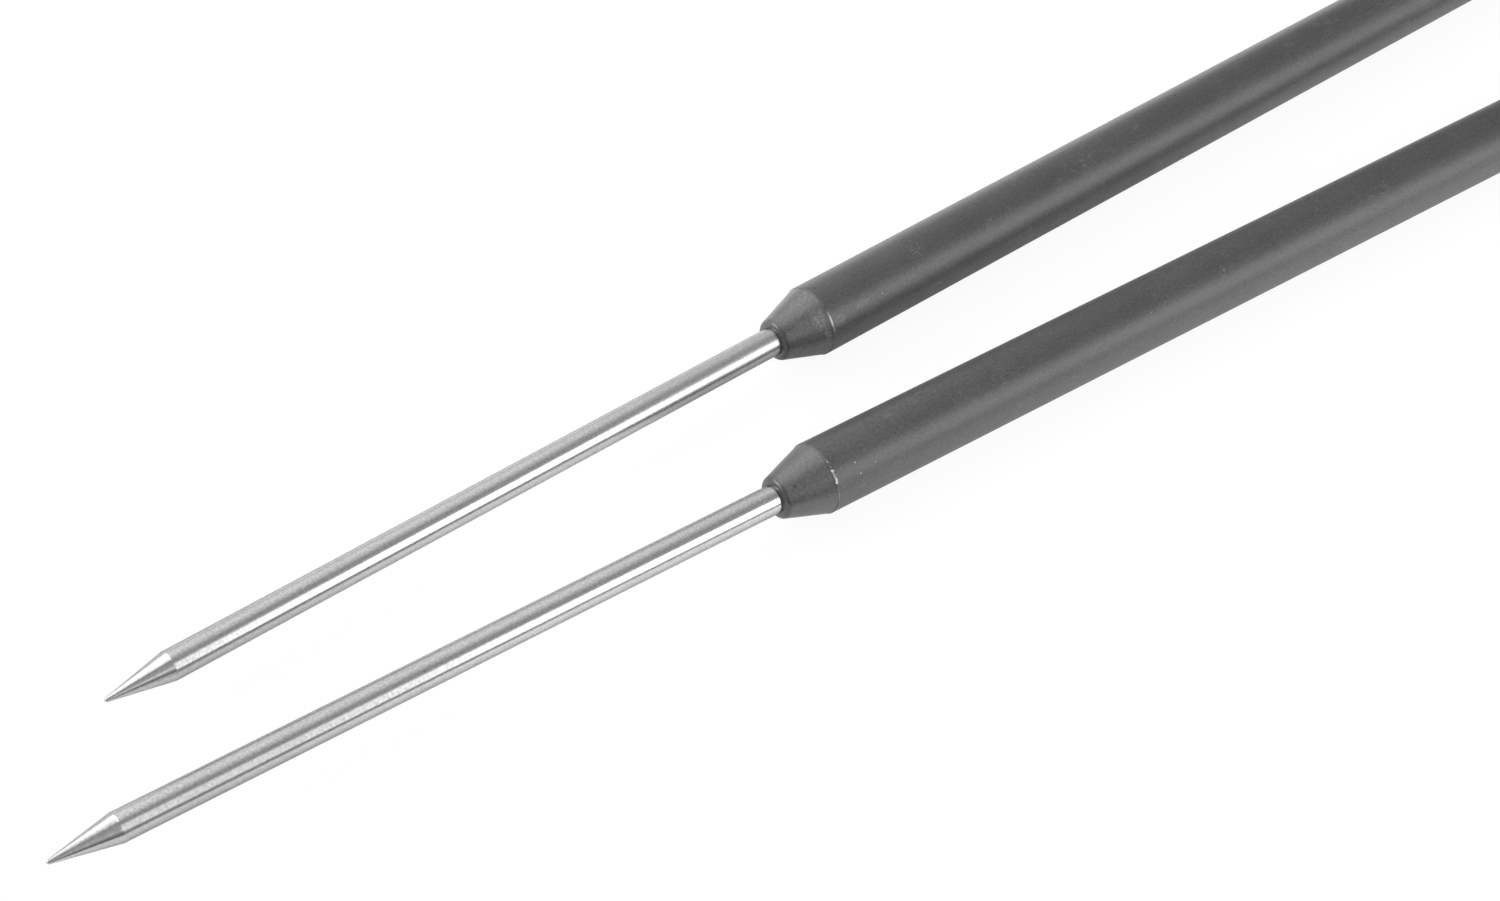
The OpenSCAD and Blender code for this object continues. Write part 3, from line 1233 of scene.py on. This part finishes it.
@dataclass
class LeadSocket(SubAssembly):
    """Brass contact with its socket and solder cup, its spring clip, and the bush round it."""

    front_x: float = start_of("socket_contact")
    rear_x: float = end_of("socket_contact")
    radius: float = size_of("socket_contact").z / 2
    clip_x: float = start_of("contact_clip")
    bush_x: float = start_of("rear_bush")
    bore: float = 2.0 * MM
    depth: float = 20.0 * MM
    floor: float = 3.0 * MM
    cup_bore: float = 0.52 * MM
    cup_radius: float = 1.12 * MM
    cup_floor: float = 1.0 * MM
    groove: float = 0.3 * MM
    room: float = 0.02 * MM
    lip_run: float = 0.05 * MM
    cup_run: float = 0.1 * MM
    body_run: float = 0.15 * MM
    rear_run: float = 0.08 * MM

    def build(self) -> None:
        """Turns the contact, and dresses the clip and the bush."""
        brass = TurnedMetal("contact_brass", (0.78, 0.58, 0.27), roughness=0.24)
        self.stand_for("socket_contact", self.outline().spin(), brass, "contact_brass")
        self.dress("contact_clip", TurnedMetal("spring_steel", (0.36, 0.37, 0.4), roughness=0.35))
        self.dress("rear_bush", PlainSleeve("bush_ivory", (0.76, 0.7, 0.56)))

    def outline(self) -> Outline:
        """Draws the contact, from the floor of its solder cup round to the drilled end of its bore.

        Returns:
            The half section, open along the axis.
        """
        floor_x = self.rear_x - self.depth
        body_x = floor_x - self.floor
        groove_r = self.radius - self.groove
        corners = [
            Corner(body_x - self.cup_floor, 0),
            Corner(body_x - self.cup_floor, self.cup_bore),
            Corner(self.front_x, self.cup_bore, self.lip_run),
            Corner(self.front_x, self.cup_radius, self.cup_run),
            Corner(body_x, self.cup_radius),
            Corner(body_x, self.radius, self.body_run),
            Corner(self.clip_x - self.room, self.radius),
            Corner(self.clip_x - self.room, groove_r),
            Corner(self.bush_x, groove_r),
            Corner(self.bush_x, self.radius),
            Corner(self.rear_x, self.radius, self.rear_run),
            Corner(self.rear_x, self.bore, self.body_run),
            Corner(floor_x, self.bore),
            Corner(floor_x - self.bore / 3, 0),
        ]
        return Outline(corners, closed=False, segments=3)


@dataclass
class Chuck(SubAssembly):
    """Brass chuck that holds the needle."""

    def build(self) -> None:
        """Dresses the chuck."""
        self.dress("needle_chuck", TurnedMetal("chuck_brass", (0.74, 0.55, 0.28), roughness=0.3))


@dataclass
class DampingResistor(SubAssembly):
    """Resistor behind the chuck, with its caps, leads and sleeve."""

    front_x: float = start_of("resistor_body")
    bands: Sequence[Band] = (
        Band(1.3, (0.12, 0.05, 0.02)),
        Band(2.3, (0.01, 0.01, 0.01)),
        Band(3.3, (0.12, 0.05, 0.02)),
        Band(5.0, (0.5, 0.36, 0.08)),
    )

    def build(self) -> None:
        """Dresses the resistor's pieces."""
        self.dress("resistor_body", BandedLacquer("resistor_lacquer", self.front_x / MM, self.bands))
        self.dress("resistor_caps", TINNED)
        self.dress("resistor_leads", TINNED)
        self.dress("resistor_sleeve", PlainSleeve("sleeve_ivory", (0.8, 0.77, 0.68), roughness=0.5))


@dataclass
class LinkWire(SubAssembly):
    """Wire from the resistor to the lead socket, with its ferrule and insulation."""

    def build(self) -> None:
        """Dresses the wire's pieces."""
        self.dress("lead_ferrule", TINNED)
        self.dress("link_wire", TurnedMetal("copper_wire", (0.8, 0.42, 0.26), 0.28, cells=(0.3, 12.0, 12.0)))
        self.dress("link_insulation", PlainSleeve("red_insulation", (0.45, 0.03, 0.025), roughness=0.38))


# Studio


@dataclass(frozen=True)
class Softbox:
    """A rectangular lamp that hangs beside the probes, at an angle about X counted from +Y upwards."""

    name: str
    radiance: float
    aim: float
    at_x: float
    length: float
    height: float
    tilt: float = 0.0
    distance: float = 1.0

    def build(self) -> None:
        """Makes the lamp, which the camera doesn't see."""
        aim = math.radians(self.aim)
        lamp = bpy.data.lights.new(self.name, "AREA")
        lamp.shape = "RECTANGLE"
        lamp.size = self.length
        lamp.size_y = self.height
        lamp.energy = self.radiance * math.pi * self.length * self.height
        box = bpy.data.objects.new(self.name, lamp)
        spot = Vector((self.at_x, math.cos(aim) * self.distance, math.sin(aim) * self.distance))
        turned = Matrix.Rotation(aim - math.pi / 2, 4, "X") @ Matrix.Rotation(math.radians(self.tilt), 4, "Z")
        box.matrix_world = Matrix.Translation(spot) @ turned
        box.visible_camera = False
        bpy.context.scene.collection.objects.link(box)
        log.info("%s: %.2f W", self.name, lamp.energy)


@dataclass(frozen=True)
class Shade:
    """A darker part of the mirrored floor: its edges along Y and along X, and how dark it is.

    An edge is where the shade starts and where it is whole.
    """

    y_edges: Sequence[tuple[float, float]]
    x_edges: Sequence[tuple[float, float]]
    depth: float

    def kept(self, g: Graph, spot: bpy.types.bpy_prop_collection) -> Socket:
        """The share of its brightness that the floor keeps.

        Args:
            g: the floor's graph.
            spot: the place on the floor, by axis.

        Returns:
            A factor, 1 outside the shade.
        """
        across = [g.between(spot["Y"], *edge) for edge in self.y_edges]
        along = [g.between(spot["X"], *edge) for edge in self.x_edges]
        return g.minus(1.0, g.times(self.depth, *across, *along))


@dataclass
class Studio:
    """Pale floor, soft light and the camera.

    Each step is where it starts, where it is whole, and how much it adds: along X on the floor, and by
    the X of a direction in the room. walls gives the room's brightness by the angle about X in degrees,
    counted from +Y upwards, and far_wall and near_wall are parts of the half turn over which two of
    them come in. fade is where the far wall fades out along X.
    """

    shoulder: Vector
    floor_radius: float = 8.0
    floor_tone: float = 0.84
    seen_tone: float = 0.11
    seen_glow: float = 0.915
    mirrored: float = 0.12
    mirrored_tone: float = 1.14
    glow: float = 0.86
    glow_steps: Sequence[tuple[float, float, float]] = ((-0.11, -0.06, 0.24), (-0.045, -0.012, 0.16))
    shades: Sequence[Shade] = (
        Shade(((-0.035, -0.085),), ((0.01, -0.02),), 0.5),
        Shade(((-0.0095, -0.0075), (0.005, 0.003)), ((-0.045, -0.035), (0.07, 0.02)), 0.35),
    )
    walls: Sequence[tuple[float, float]] = (
        (0.0, 0.92),
        (16.0, 1.04),
        (40.0, 1.2),
        (52.0, 1.12),
        (62.0, 1.0),
        (73.0, 0.82),
        (82.0, 0.63),
        (90.0, 0.49),
        (98.0, 0.47),
        (108.0, 0.5),
        (118.0, 0.58),
        (140.0, 0.6),
        (152.0, 0.52),
        (162.0, 0.36),
        (170.0, 0.2),
        (180.0, 0.16),
    )
    far_wall: tuple[float, float] = (0.56, 0.36)
    near_wall: tuple[float, float] = (0.8, 0.92)
    fade: tuple[float, float] = (0.44, 0.64)
    lift_steps: Sequence[tuple[float, float, float]] = (
        (0.16, 0.26, 0.75),
        (0.48, 0.51, -0.65),
        (0.51, 0.62, 1.5),
    )
    lamps: Sequence[Softbox] = (
        Softbox("front_softbox", 0.68, 140.5, 0.35, 0.9, 0.76, tilt=-32),
        Softbox("key_softbox", 1.75, 145.3, 0.88, 1.1, 0.79),
        Softbox("top_softbox", 1.6, 50, 0.0, 0.64, 3.4, distance=2.5),
        Softbox("side_softbox", 5.0, 36, -1.0, 0.9, 0.9),
    )
    lens: float = 69.62
    film_width: float = 36.0
    clip_start: float = 0.01
    clip_end: float = 50.0
    camera_offset: Vector = field(default_factory=lambda: Vector((-149.497, -115.060, 236.579)) * MM)
    azimuth: float = math.radians(-50.2014)
    elevation: float = math.radians(51.2906)
    roll: float = math.radians(17.1389)

    def build(self) -> None:
        """Sets the studio up."""
        self.lay_floor()
        self.light_world()
        for lamp in self.lamps:
            lamp.build()
        self.set_camera()
        bpy.context.scene.view_settings.view_transform = "Standard"

    def lay_floor(self) -> None:
        """Makes a round floor whose white look keeps a faint shadow."""
        disc = bmesh.new()
        bmesh.ops.create_circle(disc, cap_ends=True, segments=96, radius=self.floor_radius)
        mesh = bpy.data.meshes.new("floor")
        disc.to_mesh(mesh)
        disc.free()
        floor = bpy.data.objects.new("floor", mesh)
        bpy.context.scene.collection.objects.link(floor)
        paper = bpy.data.materials.new("floor_paper")
        paper.use_nodes = True
        g = Graph(paper.node_tree)
        paper.node_tree.nodes.remove(paper.node_tree.nodes["Principled BSDF"])
        plain = g.add("BsdfDiffuse", Color=grey(self.floor_tone)).outputs[0]
        dim = g.add("BsdfDiffuse", Color=grey(self.seen_tone)).outputs[0]
        glow = g.add("Emission", Color=grey(self.seen_glow), Strength=1.0).outputs[0]
        white = g.add("AddShader", in0=dim, in1=glow).outputs[0]
        spot = g.axes(g.add("TexCoord").outputs["Object"])
        bright: object = self.glow
        for start, end, rise in self.glow_steps:
            bright = g.plus(g.times(g.between(spot["X"], start, end), rise), bright)
        bright = g.times(bright, *(shade.kept(g, spot) for shade in self.shades))
        sheen = g.add("Emission", Color=bright, Strength=1.0).outputs[0]
        lit = g.add("BsdfDiffuse", Color=g.times(bright, self.mirrored_tone)).outputs[0]
        mirrored = g.add("MixShader", in0=self.mirrored, in1=lit, in2=sheen).outputs[0]
        path = g.add("LightPath").outputs
        unseen = g.add("MixShader", in0=path["Is Glossy Ray"], in1=plain, in2=mirrored).outputs[0]
        seen = g.most(path["Is Camera Ray"], path["Is Transmission Ray"])
        look = g.add("MixShader", in0=seen, in1=unseen, in2=white).outputs[0]
        g.feed(paper.node_tree.nodes["Material Output"].inputs["Surface"], look)
        mesh.materials.append(paper)
        log.info("floor: radius %.1f m", self.floor_radius)

    def light_world(self) -> None:
        """Lights the room by the angle about X: a pale wall on +Y, darker overhead and low on -Y."""
        world = bpy.data.worlds.new("studio_room")
        bpy.context.scene.world = world
        world.use_nodes = True
        g = Graph(world.node_tree)
        toward = g.axes(g.add("TexCoord").outputs["Generated"])
        turn = g.math("DIVIDE", g.math("ARCTAN2", toward["Z"], toward["Y"]), math.pi)
        ramp = g.add("ValToRGB", Fac=turn)
        stops = ramp.color_ramp.elements
        stops.remove(stops[1])
        for angle, tone in self.walls:
            stop = stops[0] if angle == 0 else stops.new(angle / 180)
            stop.position = angle / 180
            stop.color = grey(tone)
        faded = g.times(g.between(turn, *self.far_wall), g.between(toward["X"], *self.fade))
        near_wall = g.between(turn, *self.near_wall)
        kept = g.minus(1.0, faded)
        for start, end, rise in self.lift_steps:
            kept = g.plus(kept, g.times(g.between(toward["X"], start, end), rise, near_wall))
        lit = g.stretch(ramp.outputs["Color"], kept)
        seen = g.add("LightPath").outputs["Is Camera Ray"]
        background = world.node_tree.nodes["Background"]
        background.inputs["Strength"].default_value = 1.0
        g.feed(background.inputs["Color"], g.mix(seen, lit, grey(1.0)))

    def set_camera(self) -> None:
        """Makes the camera."""
        out = Vector((math.sin(self.azimuth), -math.cos(self.azimuth), 0)) * math.cos(self.elevation)
        back = out + Vector((0, 0, math.sin(self.elevation)))
        across = Vector((0, 0, 1)).cross(back).normalized()
        upright = back.cross(across)
        right = across * math.cos(self.roll) + upright * math.sin(self.roll)
        up = upright * math.cos(self.roll) - across * math.sin(self.roll)
        lens = bpy.data.cameras.new("camera")
        lens.lens = self.lens
        lens.sensor_width = self.film_width
        lens.clip_start = self.clip_start
        lens.clip_end = self.clip_end
        camera = bpy.data.objects.new("camera", lens)
        spot = self.shoulder + self.camera_offset
        turned = Matrix((right, up, back)).transposed().to_4x4()
        camera.matrix_world = Matrix.Translation(spot) @ turned
        bpy.context.scene.collection.objects.link(camera)
        bpy.context.scene.camera = camera
        log.info("camera: lens %.1f mm", self.lens)


def main() -> None:
    """Builds the studio and both probes."""
    logging.basicConfig(level=logging.INFO, format="%(name)s: %(message)s")
    places = [Place.of(side) for side in Side]
    Studio(places[0].shoulder).build()
    for place in places:
        for kind in (Needle, NoseCone, HandleTube, EndCap, LeadSocket, Chuck, DampingResistor, LinkWire):
            kind(place).build()


if __name__ == "__main__":
    main()
